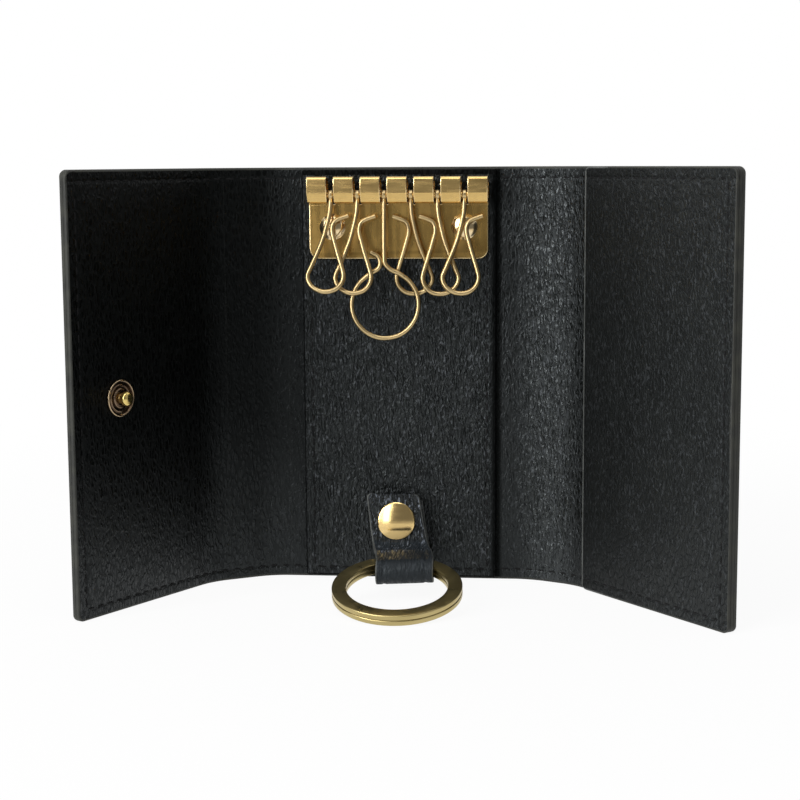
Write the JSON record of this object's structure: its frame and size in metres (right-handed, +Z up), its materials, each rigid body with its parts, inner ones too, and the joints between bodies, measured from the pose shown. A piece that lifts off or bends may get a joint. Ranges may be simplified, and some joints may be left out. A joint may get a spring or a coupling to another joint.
{
  "type": "key case",
  "caption": "Folding leather key case standing open, with wire key hooks on a rolled brass plate, a snap strap with a split ring, and two flaps with a card pocket.",
  "frame": {"origin": "middle of the centre panel's bottom edge, on the seam between its outer leather and its lining", "axes": "+X to the right as seen from inside the case, +Y to the back, +Z up"},
  "size_m": [0.1522, 0.0521, 0.104],
  "materials": {
    "outer_leather": "pebbled, matt",
    "lining_leather": "pebbled, matt",
    "panel_leather": "pebbled, matt",
    "strap_leather": "pebbled, smooth at its fold",
    "plate_brass": "satin",
    "wire_brass": "polished",
    "ring_brass": "polished, darkened",
    "spring_steel": "satin"
  },
  "bodies": {
    "centre": {"outer_back": "outer_leather", "lining_back": "lining_leather", "key_panel": "panel_leather", "key_plate": "plate_brass", "hook_rod": "plate_brass", "plate_rivets": "plate_brass", "rivet_washers": "plate_brass", "strap_loop": "strap_leather", "strap_stud": "plate_brass", "strap_stud_washer": "plate_brass", "outer_left_back_fold": "outer_leather", "outer_right_back_fold": "outer_leather", "lining_left_back_fold": "lining_leather", "lining_right_back_fold": "lining_leather"},
    "left_spine": {"outer_left_spine": "outer_leather", "lining_left_spine": "lining_leather", "outer_left_flap_fold": "outer_leather", "lining_left_flap_fold": "lining_leather"},
    "left_flap": {"outer_left_flap": "outer_leather", "lining_left_flap": "lining_leather", "flap_stud": "plate_brass", "flap_stud_washer": "plate_brass"},
    "right_spine": {"outer_right_spine": "outer_leather", "lining_right_spine": "lining_leather", "outer_right_flap_fold": "outer_leather", "lining_right_flap_fold": "lining_leather"},
    "right_flap": {"outer_right_flap": "outer_leather", "lining_right_flap": "lining_leather", "card_pocket": "panel_leather", "flap_socket": "plate_brass", "flap_socket_spring": "spring_steel", "flap_socket_tube": "plate_brass"},
    "tab": {"strap_tab": "strap_leather", "strap_cap": "plate_brass", "strap_socket": "plate_brass", "strap_socket_spring": "spring_steel"},
    "ring": {"split_ring": "ring_brass"},
    "hook_1": {"hook_1": "wire_brass"},
    "hook_2": {"hook_2": "wire_brass"},
    "hook_3": {"hook_3": "wire_brass"},
    "hook_4": {"hook_4": "wire_brass"},
    "hook_5": {"hook_5": "wire_brass"},
    "hook_6": {"hook_6": "wire_brass"}
  },
  "joints": [
    {"name": "left_fold", "type": "hinge", "parent": "centre", "child": "left_spine", "pos_m": [-0.033, 0, 0], "axis": [0, 0, 1], "range_deg": [-30.5, 36], "deforming": ["outer_left_back_fold", "lining_left_back_fold"]},
    {"name": "left_flap_fold", "type": "hinge", "parent": "left_spine", "child": "left_flap", "pos_m": [-0.04765, -0.00863, 0], "axis": [0, 0, 1], "range_deg": [-30.5, 36], "deforming": ["outer_left_flap_fold", "lining_left_flap_fold"]},
    {"name": "right_fold", "type": "hinge", "parent": "centre", "child": "right_spine", "pos_m": [0.033, 0, 0], "axis": [0, 0, -1], "range_deg": [-25.6, 32], "deforming": ["outer_right_back_fold", "lining_right_back_fold"]},
    {"name": "right_flap_fold", "type": "hinge", "parent": "right_spine", "child": "right_flap", "pos_m": [0.04472, -0.00562, 0], "axis": [0, 0, -1], "range_deg": [-25.6, 32], "deforming": ["outer_right_flap_fold", "lining_right_flap_fold"]},
    {"name": "hook_4_swing", "type": "hinge", "parent": "centre", "child": "hook_4", "pos_m": [0, -0.00445, 0.09725], "axis": [-1, 0, 0], "range_deg": [0, 75]},
    {"name": "hook_3_swing", "type": "hinge", "parent": "hook_4", "child": "hook_3", "pos_m": [0, -0.00445, 0.09725], "axis": [-1, 0, 0], "range_deg": [0, 25]},
    {"name": "hook_2_swing", "type": "hinge", "parent": "hook_3", "child": "hook_2", "pos_m": [0, -0.00445, 0.09725], "axis": [-1, 0, 0], "range_deg": [0, 25]},
    {"name": "hook_1_swing", "type": "hinge", "parent": "hook_2", "child": "hook_1", "pos_m": [0, -0.00445, 0.09725], "axis": [-1, 0, 0], "range_deg": [0, 25]},
    {"name": "hook_5_swing", "type": "hinge", "parent": "hook_4", "child": "hook_5", "pos_m": [0, -0.00445, 0.09725], "axis": [-1, 0, 0], "range_deg": [0, 25]},
    {"name": "hook_6_swing", "type": "hinge", "parent": "hook_5", "child": "hook_6", "pos_m": [0, -0.00445, 0.09725], "axis": [-1, 0, 0], "range_deg": [0, 25]},
    {"name": "tab_bend", "type": "hinge", "parent": "centre", "child": "tab", "pos_m": [0.0001, -0.00545, 0.0107], "axis": [1, 0, 0], "range_deg": [0, 55]},
    {"name": "ring_turn", "type": "hinge", "parent": "centre", "child": "ring", "pos_m": [0.0022, -0.0334, 0.00488], "axis": [0, -0.2334, 0.9724], "continuous": true}
  ],
  "couplings": [
    {"joint": "left_flap_fold", "follows": "left_fold", "ratio": 1},
    {"joint": "right_flap_fold", "follows": "right_fold", "ratio": 1}
  ]
}
